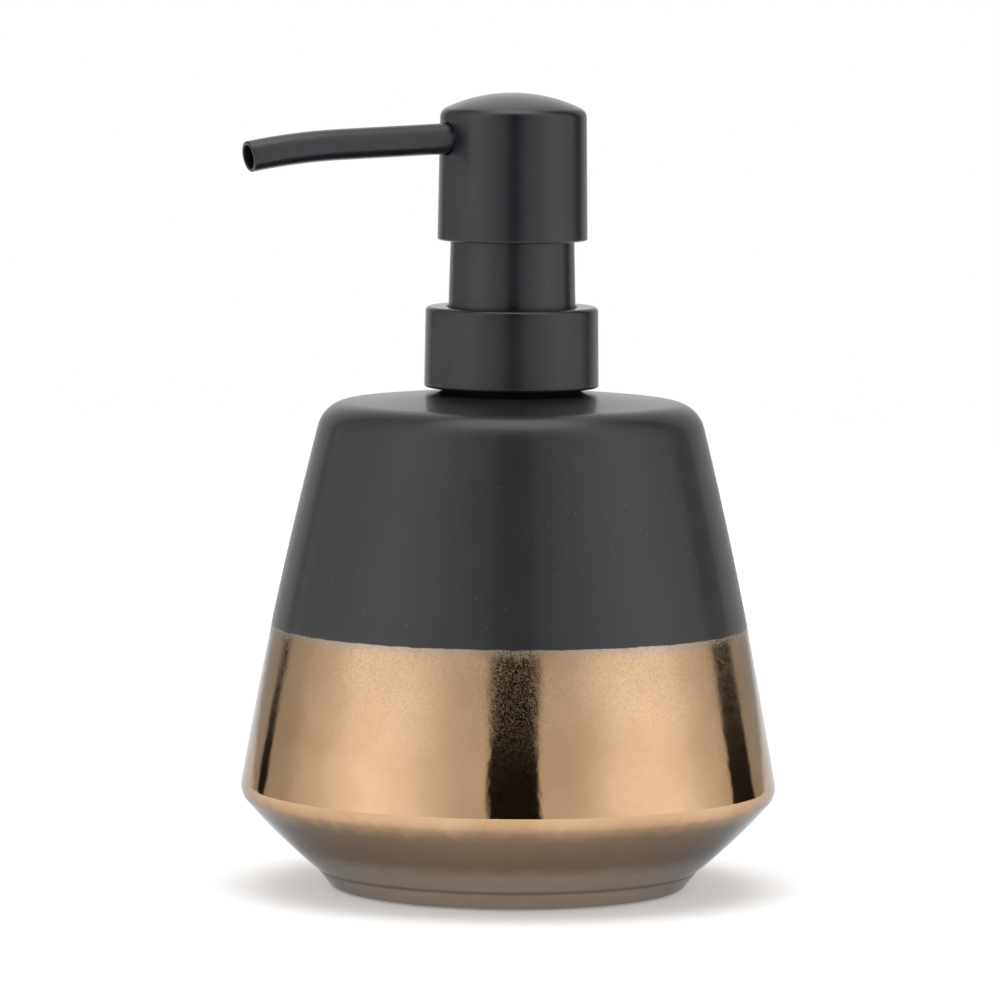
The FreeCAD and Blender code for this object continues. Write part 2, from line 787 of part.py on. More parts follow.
def make_return_spring():
    """Steel compression spring with open ends, between the retainer and the valve post."""
    foot = S.chamber_floor_z + S.retainer_thickness
    height = S.post_seat_z - foot - S.spring_wire * 2
    helix = doc.addObject("Part::Helix", "spring_helix")
    bind(helix, "Height", height)
    bind(helix, "Pitch", height / S.spring_turns)
    bind(helix, "Radius", S.spring_coil)
    helix.SegmentLength = 0.5
    bind(helix, ".Placement.Base.z", foot + S.spring_wire)
    wire = doc.addObject("Part::Circle", "spring_wire_section")
    bind(wire, "Radius", S.spring_wire)
    wire.Placement = FreeCAD.Placement(
        FreeCAD.Vector(S.spring_coil.value, 0, (foot + S.spring_wire).value),
        FreeCAD.Rotation(FreeCAD.Vector(1, 0, 0), 90),
    )
    spring = doc.addObject("Part::Sweep", "return_spring")
    spring.Sections = [wire]
    spring.Spine = (helix, [])
    spring.Solid = True
    spring.Frenet = True
    spring.Label = "return_spring"
    doc.recompute()
    return spring


def make_valve_post():
    """Post snapped into the stem; its head closes the piston and sits on the spring."""
    body = turned(
        "valve_post",
        [
            (0, S.post_seat_z - S.post_spigot_length),
            (S.post_spigot, S.post_seat_z - S.post_spigot_length),
            (S.post_spigot, S.post_seat_z),
            (S.post_head, S.post_seat_z),
            (S.post_head, S.post_head_top_z),
            (S.stem_bore, S.post_head_top_z),
            (S.stem_bore, S.post_top_z),
            (0, S.post_top_z),
        ],
    )
    sketch = new_sketch(body, "flat_outline", "XY_Plane", S.post_head_top_z)
    draw_outline(
        sketch,
        [
            (S.post_flat, -S.stem_bore),
            (S.stem_bore + 1, -S.stem_bore),
            (S.stem_bore + 1, S.stem_bore),
            (S.post_flat, S.stem_bore),
        ],
    )
    before = body.Shape.Volume
    flat = body.newObject("PartDesign::Pocket", "post_flat_cut")
    flat.Profile = sketch
    flat.Type = "Length"
    bind(flat, "Length", S.post_top_z - S.post_head_top_z + 1)
    flat.Reversed = True
    doc.recompute()
    if not body.Shape.Volume < before - 1:
        raise RuntimeError("post_flat_cut cuts nothing")
    spin_copies(body, [flat], "post_flats", 3)
    return body


def make_piston():
    """Soft piston that floats on the stem's skirt between the post's head and the stem's stop."""
    top = S.post_head_top_z + S.piston_height
    return turned(
        "piston",
        [
            (S.piston_bore, S.post_head_top_z),
            (S.piston_radius, S.post_head_top_z),
            (S.piston_radius, S.post_head_top_z + S.piston_lip),
            (S.piston_waist, S.post_head_top_z + S.piston_lip * 1.5),
            (S.piston_waist, top - S.piston_lip * 1.5),
            (S.piston_radius, top - S.piston_lip),
            (S.piston_radius, top),
            (S.piston_bore, top),
        ],
    )


def make_stem():
    """Hollow stem from the piston up into the head, with a flange that stops its rise."""
    stop_z = S.post_head_top_z + S.piston_height + S.piston_float
    stop_top = stop_z + S.stem_stop_thickness
    return turned(
        "stem",
        [
            (S.stem_bore, S.stem_skirt_z),
            (S.stem_skirt, S.stem_skirt_z),
            (S.stem_skirt, stop_z),
            (S.stem_stop, stop_z),
            (S.stem_stop, stop_top),
            (S.stem_radius, stop_top),
            (S.stem_radius, S.stem_top_z),
            (S.stem_bore, S.stem_top_z),
        ],
    )


# ---------------------------------------------------------------- the head


def dome_radius(rim, rise):
    """Radius of the sphere whose cap has this rim radius and rise."""
    return (rim * rim + rise * rise) / (rise * 2)


def make_head_shell():
    """Domed cover of the head: a deep cup open underneath, with a hole for the spout."""
    outer_rise = S.head_top_z - S.head_shoulder_z
    inner_top = S.head_top_z - S.head_roof
    body = turned(
        "head_shell",
        [
            (S.head_bore, S.head_z),
            (S.head_radius, S.head_z),
            (
                S.head_shoulder_radius,
                S.head_shoulder_z,
                dome_radius(S.head_shoulder_radius, outer_rise),
            ),
            (0, S.head_top_z),
            (0, inner_top, -dome_radius(S.head_bore, inner_top - S.dome_edge_z)),
            (S.head_bore, S.dome_edge_z),
        ],
    )
    round_edges(
        body,
        "head_shoulder_rounding",
        S.head_shoulder_round,
        [(S.head_shoulder_radius, S.head_shoulder_z)],
    )
    round_edges(body, "head_rim_rounding", S.head_rim_round, [(S.head_radius, S.head_z)])
    cut_hole(
        body,
        "spout_opening",
        "YZ_Plane",
        S.spout_hole,
        0,
        S.spout_hole_z,
        False,
        S.head_radius + 2,
    )
    return body


def make_head_core():
    """Inner moulding of the head: stem socket, disc and ribs inside the shell, spout boss."""
    disc_top = S.core_disc_z + S.core_disc_thickness
    body = turned(
        "head_core_blank",
        [
            (S.core_socket, S.core_z),
            (S.core_tube, S.core_z),
            (S.core_tube, S.core_disc_z),
            (S.head_bore, S.core_disc_z),
            (S.head_bore, disc_top),
            (0, disc_top),
            (0, S.spout_z),
            (S.spout_bore, S.spout_z),
            (S.spout_bore, S.core_socket_z),
            (S.core_socket, S.core_socket_z),
        ],
    )
    add_ribs(body)
    boss_length = S.head_bore - 0.8
    boss = doc.addObject("Part::Cylinder", "spout_boss")
    lay_along_spout(boss, S.core_boss, boss_length)
    socket = doc.addObject("Part::Cylinder", "spout_socket")
    lay_along_spout(socket, S.spout_radius, boss_length + 1)
    socket_start = doc.addObject("Part::Cylinder", "spout_socket_stop")
    lay_along_spout(socket_start, S.spout_radius, S.spout_root)
    channel = doc.addObject("Part::Cylinder", "spout_channel")
    lay_along_spout(channel, S.spout_bore, boss_length)
    riser = doc.addObject("Part::Cylinder", "riser_channel")
    bind(riser, "Radius", S.spout_bore)
    bind(riser, "Height", S.spout_z - S.core_socket_z)
    bind(riser, ".Placement.Base.z", S.core_socket_z)
    stem_space = doc.addObject("Part::Cylinder", "stem_space")
    bind(stem_space, "Radius", S.core_socket)
    bind(stem_space, "Height", S.core_socket_z - S.core_z)
    bind(stem_space, ".Placement.Base.z", S.core_z)
    solid = joined("head_core_solid", body, boss)
    drilled = joined("head_core_drilled", solid, channel, "Part::Cut")
    seat = joined("spout_seat_space", socket, socket_start, "Part::Cut")
    seated = joined("head_core_seated", drilled, seat, "Part::Cut")
    risen = joined("head_core_risen", seated, riser, "Part::Cut")
    return joined("head_core", risen, stem_space, "Part::Cut")


def lay_along_spout(cylinder, radius, length):
    """Lays a cylinder along the spout's straight line, from the head's axis."""
    bind(cylinder, "Radius", radius)
    bind(cylinder, "Height", length)
    turn = FreeCAD.Rotation(FreeCAD.Vector(0, 1, 0), -90 - S.spout_tilt.value)
    cylinder.Placement = FreeCAD.Placement(FreeCAD.Vector(0, 0, S.spout_z.value), turn)
    bind(cylinder, ".Placement.Base.z", S.spout_z)


def add_ribs(body):
    """Three ribs under the disc, clear of the spout's boss."""
    sketch = new_sketch(body, "rib_outline", "XY_Plane", S.rib_z)
    half = S.rib_thickness / 2
    inner = S.core_tube - 0.8
    outer = S.head_bore - 0.5
    draw_outline(sketch, [(inner, -half), (outer, -half), (outer, half), (inner, half)])
    rib = body.newObject("PartDesign::Pad", "rib")
    rib.Profile = sketch
    bind(rib, "Length", S.core_disc_z - S.rib_z + 0.2)
    doc.recompute()
    spin_copies(body, [rib], "ribs", 3)


def make_spout():
    """Bent tube: straight and a little downwards out of the head, then a gentle bend."""
    tilt = math.radians(S.spout_tilt.value)
    bend = math.radians(S.spout_drop.value)
    radius = S.spout_curve.value
    outward = FreeCAD.Vector(-math.cos(tilt), 0, -math.sin(tilt))
    under = FreeCAD.Vector(math.sin(tilt), 0, -math.cos(tilt))
    source = FreeCAD.Vector(0, 0, S.spout_z.value)
    straight_end = source + outward * S.spout_straight.value
    run = Part.LineSegment(source + outward * S.spout_root.value, straight_end).toShape()

    def along_bend(angle):
        forward = outward * (radius * math.sin(angle))
        return straight_end + forward + under * (radius * (1 - math.cos(angle)))

    arc = Part.Arc(straight_end, along_bend(bend / 2), along_bend(bend)).toShape()
    path = Part.Wire([run, arc])
    tubes = []
    for size in (S.spout_radius, S.spout_bore):
        ring = Part.makeCircle(size.value, run.Vertexes[0].Point, outward)
        tubes.append(path.makePipeShell([Part.Wire(ring)], True, False))
    tube = tubes[0].cut(tubes[1])
    tip = along_bend(bend)
    rims = [
        e
        for e in tube.Edges
        if isinstance(e.Curve, Part.Circle) and (e.Curve.Center - tip).Length < 0.01
    ]
    spout = doc.addObject("Part::Feature", "spout")
    spout.Shape = tube.makeFillet(S.spout_round.value, rims)
    spout.Label = "spout"
    return spout


# ---------------------------------------------------------------- build, check and write

MAKERS = [
    make_base_pad,
    make_neck_ring,
    make_ring_cement,
    make_closure,
    make_collar_shell,
    make_gasket,
    make_housing,
    make_chaplet,
    make_guide_sleeve,
    make_dip_tube,
    make_inlet_ball,
    make_ball_retainer,
    make_return_spring,
    make_valve_post,
    make_piston,
    make_stem,
    make_head_shell,
    make_head_core,
    make_spout,
]


def check(pieces):
    """Stops if any object failed to recompute or any sub-part is not one or more valid solids."""
    failed = [o.Name for o in doc.Objects if {"Invalid", "Error"} & set(o.State)]
    if failed:
        raise RuntimeError(f"failed objects: {failed}")
    for piece in pieces:
        shape = piece.Shape
        if shape.isNull() or not shape.isValid() or not shape.Solids or shape.Volume <= 0:
            raise RuntimeError(f"{piece.Label} is not a valid solid")


def write(pieces):
    os.makedirs(PARTS_FOLDER, exist_ok=True)
    for piece in pieces:
        piece.Shape.exportStep(os.path.join(PARTS_FOLDER, f"{piece.Label}.step"))
        box = piece.Shape.BoundBox
        print(
            f"{piece.Label:14s} {len(piece.Shape.Solids)} solid(s) {piece.Shape.Volume:10.1f} mm3"
            f"  x {box.XMin:7.2f} {box.XMax:7.2f}  z {box.ZMin:7.2f} {box.ZMax:7.2f}"
        )


doc = FreeCAD.newDocument("soap_dispenser")
fill_sheet(DRIVING_SIZES)
S = SizeTable(DRIVING_SIZES)
finished = make_bottle_sections() + [make() for make in MAKERS]
doc.recompute()
check(finished)
write(finished)
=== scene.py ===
import math

import bpy
import numpy as np
from mathutils import Matrix, Vector


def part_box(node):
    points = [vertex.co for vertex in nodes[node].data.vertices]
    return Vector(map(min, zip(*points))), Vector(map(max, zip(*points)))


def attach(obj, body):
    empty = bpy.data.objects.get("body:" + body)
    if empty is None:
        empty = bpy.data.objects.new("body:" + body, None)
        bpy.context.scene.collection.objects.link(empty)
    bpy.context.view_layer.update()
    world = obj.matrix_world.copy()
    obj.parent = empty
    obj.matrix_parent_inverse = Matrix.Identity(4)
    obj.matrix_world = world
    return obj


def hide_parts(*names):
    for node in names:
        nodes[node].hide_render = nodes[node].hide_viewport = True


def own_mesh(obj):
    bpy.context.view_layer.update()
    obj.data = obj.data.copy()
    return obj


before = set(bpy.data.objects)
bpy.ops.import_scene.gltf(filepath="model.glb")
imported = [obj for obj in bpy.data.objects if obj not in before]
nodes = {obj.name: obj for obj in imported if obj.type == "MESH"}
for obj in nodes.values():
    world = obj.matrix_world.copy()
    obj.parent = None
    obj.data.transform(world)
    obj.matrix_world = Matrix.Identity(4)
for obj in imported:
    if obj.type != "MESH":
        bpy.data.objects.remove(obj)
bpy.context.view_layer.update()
MM = 0.001


# ---------------------------------------------------------------- the stoneware bottle
# Slip-cast stoneware: a foot band, a low bowl, tapering flanks and a nearly flat shoulder.
# The top was dipped in a satin black glaze.  The rest was sprayed with a bronze metallic glaze,
# dusty next to the black and melted smooth lower down.  Painted shade darkens it brown under the
# belly, for the shaded floor it mirrors there; painted light turns it paler grey towards the foot,
# and a painted dark line of shade runs in the crease above the foot band.


def filleted(corners, step=0.4):
    """A polyline whose corners are turned into arcs.  A corner is (across, up, fillet radius).
    Each arc touches both sides at fillet radius times the tangent of half the turn from the
    corner, and its points are about step apart."""
    points = np.array([corner[:2] for corner in corners], float)
    out = []
    for i, corner in enumerate(corners):
        radius = corner[2] if len(corner) > 2 else 0
        if radius == 0:
            out.append(points[i][None, :])
            continue
        before = points[i - 1] - points[i]
        after = points[(i + 1) % len(points)] - points[i]
        before /= np.linalg.norm(before)
        after /= np.linalg.norm(after)
        half_turn = (math.pi - math.acos(np.clip(before @ after, -1, 1))) / 2
        reach = radius * math.tan(half_turn)
        middle = (before + after) / np.linalg.norm(before + after)
        centre = points[i] + middle * math.hypot(reach, radius)
        first = points[i] + before * reach - centre
        last = points[i] + after * reach - centre
        start = math.atan2(first[1], first[0])
        swing = (math.atan2(last[1], last[0]) - start + math.pi) % (2 * math.pi) - math.pi
        angle = start + swing * np.linspace(0, 1, max(5, int(abs(swing) * radius / step) + 2))
        out.append(centre + radius * np.stack([np.cos(angle), np.sin(angle)], 1))
    return np.concatenate(out)


def divided(points, step):
    """A polyline with every side that is longer than step divided into equal shorter ones."""
    out = [points[:1]]
    for start, end in zip(points[:-1], points[1:]):
        count = max(1, math.ceil(np.linalg.norm(end - start) / step))
        share = np.arange(1, count + 1)[:, None] / count
        out.append(start + (end - start) * share)
    return np.concatenate(out)


def surface(name, grid, wrap_rows=False, caps=()):
    """A mesh from a grid of points (rows, columns, 3) in millimetres.  Columns run round and meet,
    so that each cell becomes one face; wrap_rows joins the last row to the first; a cap closes
    the "first" or "last" row with a fan of triangles to its centre."""
    rows, columns, _ = grid.shape
    points = grid.reshape(-1, 3)
    number = np.arange(rows * columns).reshape(rows, columns)
    number = np.concatenate([number, number[:, :1]], 1)
    if wrap_rows:
        number = np.concatenate([number, number[:1]], 0)
    cells = [number[:-1, :-1], number[:-1, 1:], number[1:, 1:], number[1:, :-1]]
    faces = np.stack(cells, -1).reshape(-1, 4).tolist()
    for cap in caps:
        ring = number[0] if cap == "first" else number[-1][::-1]
        points = np.concatenate([points, points[ring[:-1]].mean(0)[None, :]])
        hub = np.full(columns, len(points) - 1)
        faces += np.stack([ring[1:], ring[:-1], hub], 1).tolist()
    return solid(name, points, faces)


def solid(name, points, faces):
    """An object from points in millimetres and faces, shaded smooth."""
    mesh = bpy.data.meshes.new(name)
    mesh.from_pydata((points * MM).tolist(), [], faces)
    mesh.shade_smooth()
    piece = bpy.data.objects.new(name, mesh)
    bpy.context.scene.collection.objects.link(piece)
    return piece


def turned(name, outline, columns, uneven=None, wrap_rows=False, caps=()):
    """An outline of (radius, height) points spun about +Z: x = r cos a, y = r sin a, z = height.
    uneven(angle, radius, height) gives the change of radius, for hand-made unevenness."""
    angle = np.arange(columns) * 2 * math.pi / columns
    a, r = np.meshgrid(angle, outline[:, 0])
    z = np.meshgrid(angle, outline[:, 1])[1]
    if uneven is not None:
        r = r + uneven(a, r, z)
    grid = np.stack([r * np.cos(a), r * np.sin(a), z], -1)
    return surface(name, grid, wrap_rows, caps)


class Value:
    """A socket in a material.  Arithmetic on it adds Math nodes."""

    def __init__(self, finish, socket):
        self.finish = finish
        self.socket = socket

    def math(self, operation, *values):
        return self.finish.node("ShaderNodeMath", {"operation": operation}, dict(enumerate(values)))

    def __add__(self, other):
        return self.math("ADD", self, other)

    def __sub__(self, other):
        return self.math("SUBTRACT", self, other)

    def __rsub__(self, other):
        return self.math("SUBTRACT", other, self)

    def __mul__(self, other):
        return self.math("MULTIPLY", self, other)

    __radd__ = __add__
    __rmul__ = __mul__

    def ramp(self, low, high):
        """Smooth step from 0 at low to 1 at high.  With low above high it falls instead."""
        settings = {"interpolation_type": "SMOOTHSTEP"}
        values = {"Value": self, "From Min": low, "From Max": high}
        return self.finish.node("ShaderNodeMapRange", settings, values)


class Finish:
    """A material being made: a Principled shader and the nodes that feed it.  Constants go
    straight on to the shader's sockets."""

    def __init__(self, name, constants=None):
        self.material = bpy.data.materials.new(name)
        self.material.use_nodes = True
        self.tree = self.material.node_tree
        self.shader = self.tree.nodes["Principled BSDF"]
        self.set(constants or {})

    def node(self, kind, settings, values, output=0):
        """Adds a node: its settings first, then the values or links of its sockets."""
        made = self.tree.nodes.new(kind)
        for key, value in settings.items():
            setattr(made, key, value)
        self.feed(made, values)
        return Value(self, made.outputs[output])

    def feed(self, node, values):
        for key, value in values.items():
            if isinstance(value, Value):
                self.tree.links.new(value.socket, node.inputs[key])
            else:
                node.inputs[key].default_value = value

    def set(self, values):
        self.feed(self.shader, values)

    def place(self):
        """Where on the piece: its Object coordinates, in metres."""
        return self.node("ShaderNodeTexCoord", {}, {}, "Object")

    def part(self, point, axis):
        """One coordinate of a point."""
        return self.node("ShaderNodeSeparateXYZ", {}, {0: point}, axis)

    def stretched(self, point, by):
        return self.node("ShaderNodeVectorMath", {"operation": "MULTIPLY"}, {0: point, 1: by})

    def noise(self, point, size, detail=2.0, rough=0.5):
        """Cloudy noise about 0.5, with lumps about size metres across."""
        values = {"Vector": point, "Scale": 1 / size, "Detail": detail, "Roughness": rough}
        return self.node("ShaderNodeTexNoise", {}, values, "Fac")

    def spots(self, point, spacing):
        """Distance to the nearest of points scattered spacing apart, in units of spacing."""
        values = {"Vector": point, "Scale": 1 / spacing}
        return self.node("ShaderNodeTexVoronoi", {}, values, "Distance")

    def mix(self, share, first, second):
        """Colour that goes from first to second as share goes from 0 to 1."""
        settings = {"data_type": "RGBA"}
        values = {"Factor": share, 6: first, 7: second}
        return self.node("ShaderNodeMix", settings, values, 2)

    def bump(self, height, depth, over=None):
        """Surface relief of height times depth metres, on top of another relief."""
        values = {"Height": height, "Distance": depth}
        if over is not None:
            values["Normal"] = over
        return self.node("ShaderNodeBump", {}, values)

    def cover(self, share, constants):
        """Lays a second Principled shader over the first where share is 1.  What is set after this
        goes to the second one."""
        second = self.tree.nodes.new("ShaderNodeBsdfPrincipled")
        both = self.tree.nodes.new("ShaderNodeMixShader")
        self.feed(both, {0: share, 1: Value(self, self.shader.outputs[0])})
        self.feed(both, {2: Value(self, second.outputs[0])})
        self.tree.links.new(both.outputs[0], self.tree.nodes["Material Output"].inputs["Surface"])
        self.shader = second
        self.set(constants)

    def put_on(self, *pieces):
        for piece in pieces:
            piece.data.materials.clear()
            piece.data.materials.append(self.material)


foot_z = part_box("bottle_foot")[0].z / MM
lip_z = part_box("bottle_shoulder")[1].z / MM
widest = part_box("bottle_bowl")[1].x / MM
SEAM_Z = 51.5
FOOT_CREASE = (37.3, 3.8)
BELLY = (widest + 0.2, 18.8)
SHOULDER = (36.5, 94.7)
NECK = (13.4, 97.0)
MOUTH = (11.2, 91.2)
RECESS_R = 30.0
RECESS_Z = 2.0
INSIDE_SHOULDER = (32.6, 91.2)
INSIDE_BELLY = (48.1, 19.6)
INSIDE_FLOOR = (34.1, 6.4)
INSIDE_ROUND = 4.0
HUB_R = 0.8


def bow(height, start, end, sagitta):
    """Outward bow of a wall between two heights: a parabola that is 0 at both ends."""
    share = np.clip((height - start) / (end - start), 0, 1)
    return sagitta * 4 * share * (1 - share)


def out_of_round(angle, radius, height):
    """Faint unevenness of slip-cast ware: sines of two and three waves about the axis, turning
    slowly with the height and fading at foot and shoulder, and the small step up on to the black
    glaze, whose edge wanders."""
    two = 0.05 * np.sin(2 * angle + height / 31)
    three = 0.03 * np.sin(3 * angle - height / 23 + 1)
    fade = np.clip((45 - np.abs(height - 50)) / 30, 0, 1)
    edge = SEAM_Z + 0.12 * np.sin(3 * angle) + 0.07 * np.sin(11 * angle + 2)
    step = 0.07 / (1 + np.exp(np.clip((edge - height) / 0.1, -50, 50)))
    return np.where(radius > RECESS_R, (two + three - 0.08) * fade + step * fade, 0)


outside = filleted(
    [
        (RECESS_R, RECESS_Z, 0.5),
        (RECESS_R, foot_z, 0.5),
        (34.7, foot_z, 1.0),
        (*FOOT_CREASE, 0.3),
        (*BELLY, 3.2),
        (*SHOULDER, 6.2),
        (*NECK, 1.3),
        (NECK[0], lip_z, 0.5),
        (MOUTH[0], lip_z, 0.4),
        (*MOUTH, 0.5),
    ]
)
outside = divided(outside, 0.62)
bows = bow(outside[:, 1], FOOT_CREASE[1], BELLY[1], 0.75)
bows += bow(outside[:, 1], BELLY[1], SHOULDER[1], 0.8)
outside[:, 0] += bows * (outside[:, 0] > RECESS_R)
inside = filleted(
    [
        MOUTH,
        (*INSIDE_SHOULDER, INSIDE_ROUND),
        (*INSIDE_BELLY, INSIDE_ROUND),
        (*INSIDE_FLOOR, INSIDE_ROUND),
        (HUB_R, INSIDE_FLOOR[1]),
    ],
    step=1,
)
under = np.array([(HUB_R, RECESS_Z), (RECESS_R - 1, RECESS_Z)])
bottle_outline = np.concatenate([divided(under, 6), outside, divided(inside[1:], 4)])
bottle = turned(
    "bottle_glazed", bottle_outline, columns=240, uneven=out_of_round, caps=("first", "last")
)

glaze = Finish("two_tone_glaze", {"IOR": 1.45})
at = glaze.place()
height = glaze.part(at, 2)
wander = glaze.noise(at, 0.004, 3.0) - 0.5
grain = glaze.noise(at, 0.00035, 2.0, 0.7)
speckle = glaze.noise(at, 0.0008, 3.0, 0.6)
clouds = glaze.noise(at, 0.012, 4.0)
pores = glaze.spots(at, 0.0032).ramp(0.10, 0.02)
SOOT_DARK = (0.0095, 0.0095, 0.0102, 1)
SOOT_PALE = (0.0132, 0.0129, 0.0134, 1)
soot = glaze.mix(clouds.ramp(0.25, 0.75), SOOT_DARK, SOOT_PALE)
soot = glaze.mix(pores * 0.35, soot, (0.10, 0.10, 0.10, 1))
relief = glaze.bump(clouds, 0.0001)
glaze.set({"Coat Weight": 0.2, "Coat Roughness": 0.1, "Base Color": soot})
glaze.set({"Roughness": 0.32 + grain * 0.08 + clouds * 0.06})
pitted = glaze.bump(speckle + pores * 0.6, 0.00004, relief)
glaze.set({"Normal": glaze.bump(grain, 0.00002, pitted)})


def between(start, full, waver):
    """0 at the height start and 1 at the height full, smooth in between.  The edge wavers by about
    waver.  All three are in millimetres."""
    return (height + wander * (waver * MM)).ramp(start * MM, full * MM)


black = between(SEAM_Z - 0.12, SEAM_Z + 0.12, waver=0.5)
glaze.cover(1 - black, {"IOR": 1.5, "Specular Tint": (0.58, 0.64, 0.70, 1)})
edge_line = between(SEAM_Z - 2.2, SEAM_Z - 0.1, waver=1.8)
dusty = between(SEAM_Z - 28, SEAM_Z - 0.5, waver=5)
grit = glaze.noise(at, 0.00028, 2.0, 0.6)
dust = (grit * 0.7 + speckle * 0.3 + edge_line * 0.06).ramp(0.42, 0.66) * (dusty * 0.88 + 0.07)
# Painted shade: darker brown under the belly, for the shaded floor mirrored there.
belly_painted_shade = between(20.0, 14.6, waver=3)
# Painted light: paler grey towards the foot, for light coming from below.
foot_painted_light = between(10.0, 6.2, waver=2)
# Painted shade: a dark line in the concave crease above the foot band.
crease_painted_shade = between(3.2, 3.7, waver=0.4) * between(4.4, 3.9, waver=0)
bronze = glaze.mix(clouds.ramp(0.3, 0.7), (0.53, 0.335, 0.183, 1), (0.59, 0.385, 0.223, 1))
for share, colour in (
    (belly_painted_shade * 0.85, (0.17, 0.128, 0.097, 1)),
    (foot_painted_light * 0.85, (0.40, 0.33, 0.27, 1)),
    (dust * 0.75, (0.34, 0.265, 0.20, 1)),
    (edge_line * 0.45, (0.34, 0.31, 0.29, 1)),
    (crease_painted_shade * 0.45, (0.05, 0.035, 0.025, 1)),
):
    bronze = glaze.mix(share, bronze, colour)
rough = 0.05 + dusty * 0.06 + dust * 0.16 + edge_line * 0.12 + crease_painted_shade * 0.2
glaze.set({"Base Color": bronze, "Metallic": 1 - dust * 0.24, "Roughness": rough})
glaze.set({"Normal": glaze.bump(grit * dusty, 0.000005, relief)})
glaze.put_on(bottle)
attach(bottle, "bottle")
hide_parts("bottle_foot", "bottle_bowl", "bottle_flanks", "bottle_shoulder")


# ---------------------------------------------------------------- the foot pad
# A disc of black closed-cell foam, die cut and stuck in the foot recess so that glazed stoneware
# doesn't scratch the counter.  Its cut edge is slightly rounded.

pad_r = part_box("base_pad")[1].x / MM
pad_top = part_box("base_pad")[1].z / MM
pad_outline = filleted([(0.6, 0.0), (pad_r, 0.0, 0.35), (pad_r, pad_top, 0.1), (0.6, pad_top)])
base_pad = turned("foot_pad", divided(pad_outline, 2.0), 128, caps=("first", "last"))

foam = Finish("closed_cell_foam", {"IOR": 1.45})
at = foam.place()
bubbles = foam.spots(at, 0.0005)
tone = foam.mix(bubbles.ramp(0.1, 0.7), (0.02, 0.02, 0.021, 1), (0.05, 0.05, 0.052, 1))
foam.set({"Base Color": tone, "Roughness": 0.75 + bubbles * 0.15})
foam.set({"Normal": foam.bump(bubbles, 0.00012)})
foam.put_on(base_pad)
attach(base_pad, "bottle")
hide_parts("base_pad")


# ---------------------------------------------------------------- the neck ring and its cement
# Moulded in natural polypropylene, with the neck thread outside.  Its spigot is set in the
# stoneware with a bead of epoxy.

natural = Finish("natural_polypropylene", {"IOR": 1.49})
at = natural.place()
haze = natural.noise(at, 0.006, 3.0)
tone = natural.mix(haze.ramp(0.3, 0.7), (0.70, 0.70, 0.66, 1), (0.80, 0.80, 0.77, 1))
natural.set({"Base Color": tone, "Roughness": 0.34 + haze * 0.14})
natural.set({"Normal": natural.bump(natural.noise(at, 0.0006), 0.00002)})
natural.put_on(nodes["neck_ring"])

epoxy = Finish("cured_epoxy", {"IOR": 1.55})
at = epoxy.place()
swirl = epoxy.noise(at, 0.002, 4.0)
tone = epoxy.mix(swirl.ramp(0.3, 0.7), (0.42, 0.37, 0.24, 1), (0.55, 0.50, 0.36, 1))
epoxy.set({"Base Color": tone, "Roughness": 0.15 + swirl * 0.2})
epoxy.set({"Normal": epoxy.bump(swirl, 0.0002)})
epoxy.put_on(nodes["ring_cement"])


# ---------------------------------------------------------------- the closure and its collar
# The closure is a threaded cap in black polypropylene.  The smooth collar that shows is pressed
# over it: black plastic with the satin skin of a spark-eroded mould, its edges lightly rounded.

collar_low, collar_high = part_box("collar_shell")
collar_r = collar_high.x / MM
collar_z = collar_low.z / MM
collar_top = collar_high.z / MM
closure_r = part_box("closure")[1].x / MM
web_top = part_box("closure")[1].z / MM
COLLAR_BORE = 12.75
collar_outline = filleted(
    [
        (closure_r, collar_z, 0.15),
        (collar_r, collar_z, 0.5),
        (collar_r - 0.2, collar_top, 0.95),
        (COLLAR_BORE, collar_top, 0.25),
        (COLLAR_BORE, web_top, 0.1),
        (closure_r, web_top),
    ],
    step=0.15,
)
collar_loop = divided(np.concatenate([collar_outline, collar_outline[:1]]), 0.7)[:-1]
collar = turned("collar", collar_loop, 192, wrap_rows=True)

satin = Finish("satin_black_plastic", {"IOR": 1.5})
at = satin.place()
spark = satin.noise(at, 0.00028, 2.0, 0.6)
bloom = satin.noise(at, 0.009, 3.0)
lint = satin.spots(at, 0.0061).ramp(0.035, 0.015)
tone = satin.mix(bloom.ramp(0.3, 0.7), (0.0070, 0.0066, 0.0100, 1), (0.0094, 0.0090, 0.0128, 1))
tone = satin.mix(lint * 0.5, tone, (0.22, 0.22, 0.22, 1))
satin.set({"Base Color": tone, "Roughness": 0.19 + spark * 0.08 + bloom * 0.04})
satin.set({"Normal": satin.bump(spark, 0.00002)})
satin.put_on(collar, nodes["closure"])
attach(collar, "collar")
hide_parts("collar_shell")


# ---------------------------------------------------------------- the guide sleeve and chaplet
# A tapered tube pressed on the chaplet, the plug that closes the pump housing and guides the
# stem.  The head slides down over the sleeve and hides how the stem runs inside.

sleeve_low, sleeve_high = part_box("guide_sleeve")
sleeve_r = sleeve_high.x / MM
sleeve_z = sleeve_low.z / MM
sleeve_top = sleeve_high.z / MM
chaplet_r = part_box("chaplet")[1].x / MM
sleeve_outline = filleted(
    [
        (chaplet_r, sleeve_z),
        (sleeve_r, sleeve_z, 0.2),
        (sleeve_r - 0.45, sleeve_top, 0.35),
        (chaplet_r, sleeve_top, 0.2),
    ],
    step=0.1,
)
sleeve_loop = divided(np.concatenate([sleeve_outline, sleeve_outline[:1]]), 0.7)[:-1]
sleeve = turned("guide_tube", sleeve_loop, 160, wrap_rows=True)
satin.put_on(sleeve, nodes["chaplet"])
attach(sleeve, "pump")
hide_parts("guide_sleeve")


# ---------------------------------------------------------------- the pump inside
# Housing, ball retainer, valve post and stem are natural polypropylene, the piston is softer
# polyethylene, the gasket foam, the ball and the spring stainless steel.

natural.put_on(*[nodes[n] for n in ("pump_housing", "ball_retainer", "valve_post", "stem")])

